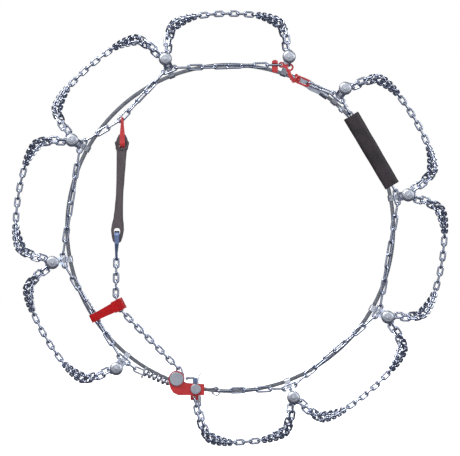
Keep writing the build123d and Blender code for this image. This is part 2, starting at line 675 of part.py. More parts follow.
EYE_LOOP_R = 3.6            # bend of the pull eye's loop, to its wire's centre
LOOP_WIRE = 2.6
loop_back = -(LOOP_WIRE / 2 + SIDE_WIRE / 2 + GAP)            # loop's end wire beyond the link's wire
eye_plane = Plane(origin=eye_wire, x_dir=spring_line, z_dir=-AXLE)
BAR_AT, BAR_T = 13.0, 2.8   # T-bar: distance from the caught link, and thickness
CORE_R = 1.7                # stub inside each end of the spring
with BuildPart() as pull_eye:
    with BuildSketch(eye_plane):
        with Locations(((loop_back + BAR_AT) / 2, 0)):
            SlotOverall(BAR_AT - loop_back + LOOP_WIRE, 2 * EYE_LOOP_R + LOOP_WIRE)
            SlotOverall(BAR_AT - loop_back - LOOP_WIRE, 2 * EYE_LOOP_R - LOOP_WIRE, mode=Mode.SUBTRACT)
    extrude(amount=LOOP_WIRE / 2, both=True)
    fillet(pull_eye.edges().filter_by(GeomType.CIRCLE), 0.8)
    bar_back = eye_wire + spring_line * (BAR_AT - BAR_T / 2)
    with BuildSketch(Plane(origin=bar_back, x_dir=AXLE, z_dir=spring_line)):
        RectangleRounded(7.0, 16.7, 2.0)
    extrude(amount=BAR_T)
    with BuildSketch(Plane(origin=eye_wire + spring_line * BAR_AT, x_dir=AXLE, z_dir=spring_line)):
        Circle(CORE_R)
    extrude(amount=7.5)
write("pull_eye", pull_eye.part)

SPRING_R, SPRING_WIRE, TURNS = 3.6, 2.4, 5
spring_from = BAR_AT + BAR_T / 2 + SPRING_WIRE / 2 + 0.2
spring_length = (plug - eye_wire).length - spring_from - SPRING_WIRE / 2 - 0.4
with BuildPart() as coil_spring:
    with BuildLine() as coil:
        Helix(pitch=spring_length / TURNS, height=spring_length, radius=SPRING_R)
    with BuildSketch(Plane(origin=coil.line @ 0, z_dir=coil.line % 0)):
        Circle(SPRING_WIRE / 2)
    sweep(path=coil.line)
coil_place = Location(Plane(origin=eye_wire + spring_line * spring_from, x_dir=AXLE, z_dir=spring_line))
write("tension_spring", copies([coil_place], coil_spring.part))

with BuildPart() as spring_plug:
    with BuildSketch(spring_plane.offset(-6.5)):
        Circle(CORE_R)
    extrude(amount=12.5)
    with BuildSketch(spring_plane.offset(-0.2)):
        Circle(3.1)
    extrude(amount=2.4)
write("spring_plug", spring_plug.part)

with BuildPart() as chain_roller:
    with BuildSketch(Plane.XY):
        with BuildLine():
            Polyline((AXLE_R + 0.06, -6.2), (9.2, -6.2), (9.2, -5.4), (5.0, -5.2), (3.5, -4.2), (3.5, 4.2),
                     (5.0, 5.2), (9.2, 5.4), (9.2, 6.2), (AXLE_R + 0.06, 6.2), (AXLE_R + 0.06, -6.2))
        make_face()
    revolve(axis=Axis.Y)
roller_place = Location((ROLLER[0], -SIDE, ROLLER[1]))
write("chain_roller", copies([roller_place], chain_roller.part))


def capped_pin(shank_r, cap_r, cap_h):
    """Pin along Y through both block halves, with a flat cap on the outer side and its tail ground flush."""
    seat = BLOCK_HALF + 0.05
    with BuildPart() as pin:
        with BuildSketch(Plane.XY):
            with BuildLine():
                Polyline((0, -seat - cap_h), (cap_r - 0.9, -seat - cap_h), (cap_r, -seat - cap_h + 0.9),
                         (cap_r, -seat), (shank_r, -seat), (shank_r, BLOCK_HALF - 0.1),
                         (0, BLOCK_HALF - 0.1), (0, -seat - cap_h))
            make_face()
        revolve(axis=Axis.Y)
    return pin.part


write("roller_axle", copies([roller_place], capped_pin(AXLE_R, 10.5, 2.6)))
pawl_place = Location((PAWL[0], -SIDE, PAWL[1]))
write("pawl_pivot", copies([pawl_place], capped_pin(PAWL_R, 7.7, 2.4)))
with BuildPart() as anchor_pin:
    with BuildSketch(OUTER):
        with Locations(ANCHOR):
            Circle(1.5)
    extrude(amount=ANCHOR_REACH, both=True)
write("anchor_pin", anchor_pin.part)

PAWL_T = 1.2                # half thickness of the pawl
pawl_line = [PAWL, (-51.8, -224.0), (-54.0, -221.7), (-63.8, -221.6)]
with BuildPart() as pawl:
    with BuildSketch(OUTER):
        with Locations(PAWL):
            Circle(4.4)
        with BuildLine():
            Polyline(*pawl_line)
        trace(line_width=3.6)
        with Locations((-64.2, -222.4)):
            Rectangle(3.0, 4.6, rotation=20)
        with Locations(PAWL):
            Circle(PAWL_R + 0.06, mode=Mode.SUBTRACT)
    extrude(amount=PAWL_T, both=True)
write("pawl", pawl.part)

with BuildPart() as release_tab:
    with BuildSketch(OUTER):
        with Locations((-51.6, -225.6)):
            RectangleRounded(7.0, 8.4, 1.0)
    extrude(amount=3.4, both=True)
    fillet(release_tab.faces().sort_by(Axis.Y)[0].edges(), 0.6)
    with BuildSketch(OUTER):
        with BuildLine():
            Polyline(*pawl_line)
        trace(line_width=4.0)
    extrude(amount=PAWL_T + 0.1, both=True, mode=Mode.SUBTRACT)
write("release_tab", release_tab.part)

SPRING_Y = 4.5              # the pawl's wire spring lies this far behind the pawl
with BuildPart() as pawl_spring:
    with BuildLine(OUTER.offset(-SPRING_Y)) as wire_path:
        Spline((-60.0, -242.6), (PAWL[0] - 3.2, PAWL[1] - 4.2), (PAWL[0] + 2.6, PAWL[1] - 3.6),
               (PAWL[0] + 4.4, PAWL[1] + 1.0), (-47.2, -229.0), (-47.0, -222.0), (-42.7, -214.0))
    with BuildSketch(Plane(origin=wire_path.line @ 0, z_dir=wire_path.line % 0)):
        Circle(0.6)
    sweep(path=wire_path.line)
write("pawl_spring", pawl_spring.part)

with BuildPart() as eye_hook:
    with BuildSketch(Plane.YZ.offset(-43.0)):
        with Locations((-SIDE, EYE_AXIS_Z)):
            Circle(1.5)
    extrude(amount=7.6)
    with BuildLine(OUTER) as hook_path:
        Spline((-35.6, EYE_AXIS_Z), (eye_centre.X - 7.0, eye_centre.Z + 3.4),
               (eye_centre.X, eye_centre.Z + eye_radius), (eye_centre.X + eye_radius, eye_centre.Z),
               (eye_centre.X, eye_centre.Z - eye_radius), (eye_centre.X - 4.9, eye_centre.Z - 2.4),
               tangents=((1, 0), (0, 1)))
    with BuildSketch(Plane(origin=hook_path.line @ 0, z_dir=hook_path.line % 0)):
        Circle(1.5)
    sweep(path=hook_path.line)
    with BuildSketch(Plane.YZ.offset(-43.6)):
        with Locations((-SIDE, EYE_AXIS_Z)):
            Circle(3.6)
    extrude(amount=3.2)
write("eye_hook", eye_hook.part)

# ---------------------------------------------------------------- tension chain and guide
PAIRS = 9                   # pairs of links beyond the roller
tall_step = NET_LENGTH - 3 * NET_WIRE - 2 * GAP
anchor = outer_point(*ANCHOR)
joint_1 = anchor + polar(tall_step, 57.0, 0)
joint_2 = joint_1 + polar(net_wire_span, 81.0, 0)
joint_3 = joint_2 + polar(tall_step, 111.0, 0)
lower_exit = outer_point(-161.8, -121.0)
upper_exit = outer_point(-169.0, -107.0)
strap_bottom = outer_point(-168.0, -47.7)
run = divided([joint_3, lower_exit, upper_exit, strap_bottom])


def chain_steps(slack):
    """Steps between joints: links seen edge-on and links seen flat, in turn."""
    return [net_wire_span, NET_LENGTH - 3 * NET_WIRE - 2 * slack] * PAIRS


joints = [anchor, joint_1, joint_2] + fit_slack(run, chain_steps)
places = []
for n, (start, end) in enumerate(zip(joints, joints[1:])):
    edge_on = n % 2 == 1
    normal = (end - start).cross(AXLE) if edge_on else AXLE
    places.append(link_place(start, end, normal))
write("tension_chain", copies(places, net_link))

BAR_ANGLE = 27.0            # slope of the guide's bar
LOOP_SPAN = 38.0            # between its two loops
run_down = (node_side(LEFT_NODES[4], -1) - node_side(LEFT_NODES[3], 1)).normalized()
guide_at = (node_side(LEFT_NODES[4], -1) + node_side(LEFT_NODES[3], 1)) / 2 + run_down * 10.0
guide_plane = Plane(origin=guide_at, x_dir=polar(1, BAR_ANGLE, 0), z_dir=-AXLE)
across = Plane(origin=guide_at, x_dir=polar(1, BAR_ANGLE, 0), z_dir=polar(1, BAR_ANGLE + 90, 0))
loop_plane = Plane(origin=guide_at + polar(LOOP_SPAN, BAR_ANGLE, 0), x_dir=across.x_dir, z_dir=across.z_dir)
LEFT_W, RIGHT_W = 12.0, 17.0    # widths of the two loops across the bar
LOOP_X, LOOP_Y, LOOP_R = 18.4, 15.8, 4.5        # outline of the right loop
with BuildPart() as guide:
    with BuildSketch(across):
        RectangleRounded(16.4, 15.6, 4.5)
        RectangleRounded(12.4, 11.8, 3.0, mode=Mode.SUBTRACT)
    extrude(amount=LEFT_W / 2, both=True)
    with BuildSketch(guide_plane.offset(4.8)):
        with BuildLine():
            Polyline((5.0, -6.0), (5.0, 6.0), (LOOP_SPAN - 4.0, 7.4), (LOOP_SPAN - 4.0, -7.4), (5.0, -6.0))
        make_face()
    extrude(amount=3.0)
    with BuildSketch(loop_plane):
        RectangleRounded(LOOP_X + 0.04, LOOP_Y + 0.04, LOOP_R)
    extrude(amount=RIGHT_W, both=True, mode=Mode.SUBTRACT)
write("guide_bar", guide.part)
with BuildPart() as guide_loop:
    with BuildSketch(loop_plane):
        RectangleRounded(LOOP_X, LOOP_Y, LOOP_R)
        RectangleRounded(LOOP_X - 3.6, LOOP_Y - 3.6, LOOP_R - 1.5, mode=Mode.SUBTRACT)
    extrude(amount=RIGHT_W / 2, both=True)
write("guide_loop", guide_loop.part)

# ---------------------------------------------------------------- rubber tensioner and its hooks
STRAP_T, STRIP_W = 2.2, 8.0     # sheet of both hooks, and its full width
STRAP_X, HOOK_X = -167.6, -159.2
SLOT_Z = 162.7              # height of the side link that the upper hook hangs in
wire_z = strap_bottom.Z + STRAP_T / 2 + GAP + NET_WIRE / 2 + 0.5       # the tension chain's top wire
RUBBER_HALF = 4.5


def strip_hook(name, x, low, knee, high, low_r, high_r, low_tip, high_tip, outline):
    """Flat strip bent into a hook at both ends; low and high are the centres of its two bends."""
    with BuildPart() as strap:
        with BuildSketch(Plane.YZ.offset(x - STRIP_W / 2)):
            with BuildLine():
                Line((-SIDE + low_r, low + low_tip), (-SIDE + low_r, low))
                ThreePointArc((-SIDE + low_r, low), (-SIDE, low - low_r), (-SIDE - low_r, low))
                Polyline((-SIDE - low_r, low), (-SIDE - high_r, knee), (-SIDE - high_r, high))
                ThreePointArc((-SIDE - high_r, high), (-SIDE, high + high_r), (-SIDE + high_r, high))
                Line((-SIDE + high_r, high), (-SIDE + high_r, high - high_tip))
            trace(line_width=STRAP_T)
        extrude(amount=STRIP_W)
        with BuildSketch(OUTER):
            with BuildLine():
                Polyline(*outline, outline[0])
            make_face()
        extrude(amount=40, both=True, mode=Mode.INTERSECT)
    write(name, strap.part)


strip_hook("strap_hook", STRAP_X, wire_z, -23.5, -11.4, 3.25, RUBBER_HALF + 1.5, 4.0, 9.0,
           [(-169.1, -60), (-166.8, -60), (-166.1, -38), (-163.2, -16), (-163.2, 0), (-170.8, 0),
            (-170.8, -16), (-169.7, -40)])
strip_hook("tension_hook", HOOK_X, 125.4, 130.0, SLOT_Z - 5.8, RUBBER_HALF + 1.5, 5.8, 5.0, 3.5,
           [(-163.2, 110), (-155.2, 110), (-155.4, 138), (-157.3, 157), (-157.9, 166),
            (-160.5, 166), (-161.1, 157), (-162.9, 138)])

with BuildPart() as rubber:
    with BuildSketch(OUTER):
        with BuildLine():
            left = Spline((-164.6, 139.0), (-169.0, 125.0), (-167.6, 97.0), (-168.6, 50.0), (-172.6, 9.0),
                          (-175.8, -3.0), (-170.6, -22.0))
            right = Spline((-154.6, 139.0), (-149.8, 125.0), (-153.9, 97.0), (-157.6, 50.0), (-158.2, 9.0),
                           (-156.6, -3.0), (-163.2, -22.0))
            Line(left @ 0, right @ 0)
            Line(left @ 1, right @ 1)
        make_face()
    extrude(amount=RUBBER_HALF, both=True)
    with BuildSketch(OUTER):
        with Locations((-159.3, 120.4)):
            SlotOverall(11.6, 6.4)
        with Locations((-167.0, -3.4)):
            RectangleRounded(10.4, 13.4, 1.5)
    extrude(amount=20, both=True, mode=Mode.SUBTRACT)
write("rubber_tensioner", rubber.part)

# ---------------------------------------------------------------- sleeve clip
CLIP_ALONG = 10.4           # the clip's distance along the first link beside the sleeve
CLIP_REACH = 9.4            # from that link's wire to the toggle bar
CLIP_W, BAR_R, BAR_LENGTH = 5.2, 1.2, 10.4
inward = AXLE.cross(run_line)
front_wire = run_start + run_line * CLIP_ALONG - AXLE * (SIDE_WIDTH - SIDE_WIRE) / 2
clip_plane = Plane(origin=front_wire - run_line * (CLIP_W / 2), x_dir=inward, z_dir=run_line)
with BuildPart() as sleeve_clip:
    with BuildSketch(clip_plane):
        Circle(SIDE_WIRE / 2 + 1.4)
        with Locations((CLIP_REACH / 2, 0)):
            Rectangle(CLIP_REACH, 2.6)
        with Locations((CLIP_REACH, 0)):
            Circle(BAR_R + 1.2)
        Circle(SIDE_WIRE / 2 + 0.2, mode=Mode.SUBTRACT)
        with Locations((CLIP_REACH, 0)):
            Circle(BAR_R, mode=Mode.SUBTRACT)
    extrude(amount=CLIP_W)
write("sleeve_clip", sleeve_clip.part)

with BuildPart() as toggle_bar:
    with BuildSketch(clip_plane.offset((CLIP_W - BAR_LENGTH) / 2)):
        with Locations((CLIP_REACH, 0)):
            Circle(BAR_R - 0.01)
    extrude(amount=BAR_LENGTH)
    fillet(toggle_bar.edges(), 0.4)
write("toggle_bar", toggle_bar.part)
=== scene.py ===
"""Fitted tyre snow chain in a plain studio, seen square-on from the wheel's outer side.

The frame brings the chain, clips, hooks and block. The rubber tensioner, the soft sleeve and the coil
spring are modelled here, because they bend, stretch or have a moulded surface. Sizes of these pieces are
in millimetres and become metres as they are built; everything else is in metres.
"""

import bpy
import json
import math
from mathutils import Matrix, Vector


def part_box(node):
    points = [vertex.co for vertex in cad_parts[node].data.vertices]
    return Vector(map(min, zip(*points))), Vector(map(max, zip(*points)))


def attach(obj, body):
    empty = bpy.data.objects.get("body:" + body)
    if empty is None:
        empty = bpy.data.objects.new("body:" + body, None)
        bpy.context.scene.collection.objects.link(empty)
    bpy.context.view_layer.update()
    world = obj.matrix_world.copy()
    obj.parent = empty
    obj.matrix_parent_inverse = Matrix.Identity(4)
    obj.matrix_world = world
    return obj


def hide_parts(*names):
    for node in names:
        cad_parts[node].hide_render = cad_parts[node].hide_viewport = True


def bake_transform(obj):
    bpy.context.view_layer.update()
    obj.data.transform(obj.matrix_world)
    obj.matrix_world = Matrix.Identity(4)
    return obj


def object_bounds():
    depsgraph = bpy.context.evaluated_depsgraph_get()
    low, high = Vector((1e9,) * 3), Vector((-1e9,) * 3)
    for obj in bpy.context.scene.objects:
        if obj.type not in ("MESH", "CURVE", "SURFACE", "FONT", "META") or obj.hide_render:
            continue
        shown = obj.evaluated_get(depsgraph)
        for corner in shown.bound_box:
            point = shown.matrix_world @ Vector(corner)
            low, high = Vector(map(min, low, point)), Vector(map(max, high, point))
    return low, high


MM = 0.001

# Camera: a long lens on the wheel's axle, framing the chain with a small margin.
CAMERA_DISTANCE = 6.0
VIEW_WIDTH = 0.679          # width of the picture at the outer side's plane
VIEW_X = 0.0003             # the hub sits this far right of the picture's middle
SIDE_Y = -0.112             # plane of the outer side chain
FLOOR_RADIUS, FLOOR_SIDES = 9.0, 64
FLOOR_GAP = 0.002           # the floor's distance below the chain
PAPER_GLOW = 0.7            # how much the floor glows to the camera under the chain
GLOW_RISE = (0.6, 2.4)      # distances between which the glow rises to plain white
SKY_LOW = (0.045, 0.05, 0.065)   # dim light from the horizon and from overhead
SKY_HIGH = (0.22, 0.24, 0.29)
SKY_FRONT = (0.74, 0.78, 0.86)   # what polished metal reflects from the camera's side
SKY_BACK = (0.06, 0.065, 0.09)   # and from the sides

# Rubber tensioner, in millimetres: height, middle x, width and thickness of each section, from the top down.
RUBBER_SECTIONS = (
    (138.8, -159.4, 7.0, 7.0),
    (137.0, -159.5, 11.0, 8.4),
    (131.0, -159.6, 16.2, 9.0),
    (125.5, -159.7, 19.4, 9.4),
    (118.0, -159.9, 18.8, 10.2),
    (116.2, -160.0, 18.2, 10.2),
    (115.0, -160.1, 15.6, 8.6),
    (111.0, -160.3, 14.8, 8.4),
    (97.0, -160.9, 13.7, 8.4),
    (72.0, -162.0, 12.0, 8.2),
    (50.0, -163.2, 10.9, 8.0),
    (30.0, -164.3, 12.2, 8.2),
    (15.0, -165.2, 14.2, 8.6),
    (4.0, -166.0, 18.0, 9.0),
    (-3.0, -166.4, 19.2, 9.0),
    (-12.0, -166.7, 16.6, 9.0),
    (-19.0, -167.0, 12.8, 8.4),
    (-21.5, -167.0, 9.0, 7.0),
)
RUBBER_CORNER = 3.4         # exponent of the cross-section's superellipse
HOLE_TOP = (-159.3, 120.9, 8.6, 5.4)       # middle x, z, width and height of the upper hole
HOLE_BOTTOM = (-167.0, -5.0, 9.0, 9.6)   # and of the lower one
HOLE_CORNER = 2.6           # exponent of both holes' outline
HOLE_FLARE = ((8.0, 1.3), (5.2, 1.12), (4.4, 1.04), (3.2, 1.01), (0.0, 1.0))   # depth, and the scale there
LIP_MIDDLE = (-159.8, 125.5)    # raised lip round the underside of the upper hole: middle, radius and bead
LIP_RADIUS = 8.9
LIP_WIRE = 1.5
LIP_STRETCH = 1.05          # its height over its width
LIP_ARC = (168, 204)        # where it starts and how far it runs, in degrees
LIP_FACE = 4.5              # its distance from the strap's middle plane

# Soft sleeve: half length, width and depth at its upper and lower ends, wall, in millimetres.
SLEEVE_HALF = 60.0
SLEEVE_WIDTH = (24.6, 23.0)
SLEEVE_DEPTH = (14.6, 14.0)
SLEEVE_WALL = 1.4
SLEEVE_CORNER = 3.6         # exponent of its cross-section's superellipse
SLEEVE_RIPPLE = 0.25        # height of the slack waves along it
SLEEVE_WAVES = 17.0         # their phase over its whole length, in radians

# Coil spring between the block and the pull eye, in millimetres.
SPRING_RADIUS = 3.45
SPRING_WIRE = 1.7
SPRING_TURNS = 5
SPRING_END = 1.5            # bare length at each end

# Mesh density: points round a cross-section, and rings along the piece.
STRAP_MESH = (48, 120)
SLEEVE_MESH = (64, 90)
WIRE_POINTS, TURN_STEPS = 14, 48
HOLE_POINTS = 40
LIP_STEPS = 28

# Lamps: name, place, size, power in watts and colour.
LAMPS = (
    ("key", (-2.4, -2.6, 3.4), (2.0, 1.4), 150, (1, 1, 1)),
    ("fill", (3.4, -2.2, 1.2), (1.2, 2.0), 45, (0.92, 0.95, 1.0)),
    ("back", (1.6, 3.4, 2.6), (2.0, 1.4), 70, (1, 1, 1)),
)


# ---------------------------------------------------------------- node helpers
def new_material(name):
    """Empty material with a Principled shader; returns the material, its nodes, its links and the shader."""
    made = bpy.data.materials.new(name)
    made.use_nodes = True
    nodes = made.node_tree.nodes
    return made, nodes, made.node_tree.links, nodes["Principled BSDF"]


def noise(nodes, links, scale, detail=4.0, stretch=(1, 1, 1)):
    """Noise in object space, stretched along the axes; returns its factor output."""
    coords = nodes.new("ShaderNodeTexCoord")
    mapping = nodes.new("ShaderNodeMapping")
    mapping.inputs["Scale"].default_value = stretch
    pattern = nodes.new("ShaderNodeTexNoise")
    pattern.inputs["Scale"].default_value = scale
    pattern.inputs["Detail"].default_value = detail
    links.new(coords.outputs["Object"], mapping.inputs["Vector"])
    links.new(mapping.outputs["Vector"], pattern.inputs["Vector"])
    return pattern.outputs["Fac"]


def ramp(nodes, links, factor, low, high, start=0.3, end=0.7):
    """Colour ramp between two colours, driven by a factor."""
    made = nodes.new("ShaderNodeValToRGB")
    made.color_ramp.elements[0].position = start
    made.color_ramp.elements[1].position = end
    made.color_ramp.elements[0].color = (*low, 1)
    made.color_ramp.elements[1].color = (*high, 1)
    links.new(factor, made.inputs["Fac"])
    return made.outputs["Color"]


def span(nodes, links, factor, low, high, start=0.0, end=1.0):
    """Maps a value that runs from start to end to a range of plain values."""
    made = nodes.new("ShaderNodeMapRange")
    made.inputs["From Min"].default_value = start
    made.inputs["From Max"].default_value = end
    made.inputs["To Min"].default_value = low
    made.inputs["To Max"].default_value = high
    links.new(factor, made.inputs["Value"])
    return made.outputs["Result"]


def bump(nodes, links, height, distance, strength=0.5):
    """Bump normal from a height."""
    made = nodes.new("ShaderNodeBump")
    made.inputs["Distance"].default_value = distance
    made.inputs["Strength"].default_value = strength
    links.new(height, made.inputs["Height"])
    return made.outputs["Normal"]


# ---------------------------------------------------------------- materials
def metal(name, dark, light, rough_low, rough_high, scale=260.0, grain=0.00015):
    """Plated metal: cloudy plating, uneven gloss and a fine grain."""
    made, nodes, links, shader = new_material(name)
    cloud = noise(nodes, links, scale)
    fine = noise(nodes, links, scale * 9, 2.0)
    shader.inputs["Metallic"].default_value = 1.0
    links.new(ramp(nodes, links, cloud, dark, light), shader.inputs["Base Color"])
    links.new(span(nodes, links, cloud, rough_high, rough_low), shader.inputs["Roughness"])
    links.new(bump(nodes, links, fine, grain), shader.inputs["Normal"])
    return made


def paint(name, dark, light, roughness, coat, specular, scale=180.0):
    """Gloss paint over metal: slight shading in the pigment and an orange-peel surface under a clear coat."""
    made, nodes, links, shader = new_material(name)
    cloud = noise(nodes, links, scale)
    peel = noise(nodes, links, scale * 5, 1.0)
    links.new(ramp(nodes, links, cloud, dark, light), shader.inputs["Base Color"])
    shader.inputs["Roughness"].default_value = roughness
    shader.inputs["Specular IOR Level"].default_value = specular
    shader.inputs["Coat Weight"].default_value = coat
    shader.inputs["Coat Roughness"].default_value = 0.12
    links.new(bump(nodes, links, peel, 0.0002, 0.35), shader.inputs["Normal"])
    return made


def cable_jacket(name):
    """Coated cable: grey jacket with the lay of the strands showing through as slanting ridges."""
    made, nodes, links, shader = new_material(name)
    cloud = noise(nodes, links, 120.0)
    coords = nodes.new("ShaderNodeTexCoord")
    strands = nodes.new("ShaderNodeTexWave")
    strands.wave_type = "BANDS"
    strands.bands_direction = "DIAGONAL"
    strands.inputs["Scale"].default_value = 130.0
    strands.inputs["Distortion"].default_value = 0.6
    links.new(coords.outputs["Object"], strands.inputs["Vector"])
    links.new(ramp(nodes, links, cloud, (0.13, 0.14, 0.16), (0.21, 0.22, 0.25)), shader.inputs["Base Color"])
    shader.inputs["Roughness"].default_value = 0.42
    links.new(bump(nodes, links, strands.outputs["Fac"], 0.0006, 0.6), shader.inputs["Normal"])
    return made


def rubber(name):
    """Moulded rubber: warm dark grey, dusty bloom and a matt grain drawn out along the strap."""
    made, nodes, links, shader = new_material(name)
    bloom = noise(nodes, links, 60.0, 6.0, (1, 1, 0.35))
    grain = noise(nodes, links, 2200.0, 3.0, (1, 1, 0.25))
    colour = ramp(nodes, links, bloom, (0.080, 0.064, 0.069), (0.130, 0.108, 0.114))
    links.new(colour, shader.inputs["Base Color"])
    links.new(span(nodes, links, bloom, 0.5, 0.72), shader.inputs["Roughness"])
    shader.inputs["Specular IOR Level"].default_value = 0.35
    links.new(bump(nodes, links, grain, 0.00025, 0.5), shader.inputs["Normal"])
    return made


def soft_plastic(name):
    """Soft sleeve: brown-black, faintly pebbled, with a worn sheen."""
    made, nodes, links, shader = new_material(name)
    cloud = noise(nodes, links, 45.0, 5.0)
    coords = nodes.new("ShaderNodeTexCoord")
    pebble = nodes.new("ShaderNodeTexVoronoi")
    pebble.inputs["Scale"].default_value = 900.0
    links.new(coords.outputs["Object"], pebble.inputs["Vector"])
    colour = ramp(nodes, links, cloud, (0.020, 0.014, 0.017), (0.040, 0.029, 0.034))
    links.new(colour, shader.inputs["Base Color"])
    links.new(span(nodes, links, cloud, 0.42, 0.6), shader.inputs["Roughness"])
    links.new(bump(nodes, links, pebble.outputs["Distance"], 0.0003, 0.35), shader.inputs["Normal"])
    return made


def make_materials():
    """One material for each of the record's slots."""
    return {
        "zinc": metal("zinc plate", (0.42, 0.46, 0.57), (0.72, 0.76, 0.86), 0.2, 0.34),
        "dome": metal("satin rivet", (0.60, 0.62, 0.66), (0.74, 0.76, 0.80), 0.36, 0.5, 420.0, 0.0003),
        "spring_steel": metal("spring steel", (0.46, 0.48, 0.54), (0.74, 0.77, 0.82), 0.22, 0.38),
        "die_cast": metal("die casting", (0.36, 0.37, 0.40), (0.56, 0.57, 0.60), 0.35, 0.5, 300.0, 0.0003),
        "blue_grey": metal("blue passivation", (0.20, 0.27, 0.46), (0.33, 0.42, 0.66), 0.3, 0.42),
        "red_paint": paint("red paint", (0.50, 0.020, 0.022), (0.62, 0.034, 0.034), 0.34, 0.7, 0.5),
        "guide_red": paint("deep red paint", (0.40, 0.001, 0.002), (0.54, 0.003, 0.005), 0.22, 0.35, 0.2),
        "cable": cable_jacket("cable jacket"),
        "rubber": rubber("moulded rubber"),
        "sleeve": soft_plastic("soft sleeve"),
    }


# ---------------------------------------------------------------- soft and stretching pieces
def mesh_object(name, points, faces, material):
    """Smooth mesh object from points in metres and faces by index."""
    mesh = bpy.data.meshes.new(name)
    mesh.from_pydata([tuple(p) for p in points], [], faces)
    mesh.materials.append(material)
    mesh.validate()
    mesh.polygons.foreach_set("use_smooth", [True] * len(mesh.polygons))
    made = bpy.data.objects.new(name, mesh)
    bpy.context.scene.collection.objects.link(made)
    return made


def tube_faces(rings, around):
    """Quads between successive rings of points."""
    faces = []
    for r in range(rings - 1):
        for k in range(around):
            n = (k + 1) % around
            faces.append((r * around + k, r * around + n, (r + 1) * around + n, (r + 1) * around + k))
    return faces


def superellipse(around, half_w, half_d, exponent):
    """Points of a rounded rectangle as (across, depth) pairs."""
    outline = []
    for k in range(around):
        a = 2 * math.pi * k / around
        c, s = math.cos(a), math.sin(a)
        across = math.copysign(abs(c) ** (2 / exponent), c) * half_w
        depth = math.copysign(abs(s) ** (2 / exponent), s) * half_d
        outline.append((across, depth))
    return outline


def between(sections, z):
    """Smoothly read middle, width and thickness of a list of sections at a height."""
    for upper, lower in zip(sections, sections[1:]):
        if lower[0] <= z <= upper[0]:
            t = (upper[0] - z) / (upper[0] - lower[0])
            t = t * t * (3 - 2 * t) * 0.5 + t * 0.5
            return [u + (w - u) * t for u, w in zip(upper[1:], lower[1:])]
    return list(sections[-1][1:])


def cut_through(target, cutters):
    """Cuts closed cutters out of the target's mesh and removes them."""
    for cutter in cutters:
        cut = target.modifiers.new("hole", "BOOLEAN")
        cut.operation = "DIFFERENCE"
        cut.solver = "EXACT"
        cut.object = cutter
    bpy.context.view_layer.update()
    evaluated = target.evaluated_get(bpy.context.evaluated_depsgraph_get())
    target.data = bpy.data.meshes.new_from_object(evaluated)
    target.modifiers.clear()
    for cutter in cutters:
        bpy.data.objects.remove(cutter)


def flared_cutter(x, z, width, height):
    """Cutter for a hole through the strap, flared at both faces so that the hole's rim is rounded."""
    levels = [(-depth, scale) for depth, scale in HOLE_FLARE]
    levels += reversed(HOLE_FLARE[:-1])
    points = []
    for depth, scale in levels:
        for across, up in superellipse(HOLE_POINTS, width / 2 * scale, height / 2 * scale, HOLE_CORNER):
            points.append(Vector((x + across, SIDE_Y / MM + depth, z + up)) * MM)
    faces = tube_faces(len(levels), HOLE_POINTS)
    faces.append(tuple(range(HOLE_POINTS)))
    faces.append(tuple(reversed(range(len(points) - HOLE_POINTS, len(points)))))
    return mesh_object("cutter", points, faces, None)


def make_rubber(material):
    """The strap: a swept body with an eye at each end."""
    around, rings = STRAP_MESH
    top, bottom = RUBBER_SECTIONS[0][0], RUBBER_SECTIONS[-1][0]
    points = []
    for r in range(rings):
        z = top + (bottom - top) * r / (rings - 1)
        x, width, depth = between(RUBBER_SECTIONS, z)
        for across, out in superellipse(around, width / 2, depth / 2, RUBBER_CORNER):
            points.append(Vector((x + across, SIDE_Y / MM - out, z)) * MM)
    faces = tube_faces(rings, around)
    faces.append(tuple(reversed(range(around))))
    faces.append(tuple(range(len(points) - around, len(points))))
    strap = mesh_object("rubber_strap", points, faces, material)
    cut_through(strap, [flared_cutter(*HOLE_TOP), flared_cutter(*HOLE_BOTTOM)])
    return strap


def make_lip(material):
    """Raised bead that runs round the underside of the upper eye, on both faces."""
    made = []
    first, sweep = LIP_ARC
    for name, face in (("rubber_lip_front", -1), ("rubber_lip_rear", 1)):
        curve = bpy.data.curves.new("lip", "CURVE")
        curve.dimensions = "3D"
        curve.bevel_depth = LIP_WIRE * MM
        curve.bevel_resolution = 4
        line = curve.splines.new("POLY")
        line.points.add(LIP_STEPS)
        for k in range(LIP_STEPS + 1):
            a = math.radians(first + sweep * k / LIP_STEPS)
            x = LIP_MIDDLE[0] + LIP_RADIUS * math.cos(a)
            z = LIP_MIDDLE[1] + LIP_RADIUS * LIP_STRETCH * math.sin(a)
            line.points[k].co = (*(Vector((x, SIDE_Y / MM + face * LIP_FACE, z)) * MM), 1)
        holder = bpy.data.objects.new("lip", curve)
        bpy.context.scene.collection.objects.link(holder)
        bpy.context.view_layer.update()
        mesh = bpy.data.meshes.new_from_object(holder.evaluated_get(bpy.context.evaluated_depsgraph_get()))
        mesh.materials.clear()
        mesh.materials.append(material)
        bead = bpy.data.objects.new(name, mesh)
        bpy.context.scene.collection.objects.link(bead)
        bpy.data.objects.remove(holder)
        made.append(bead)
    return made


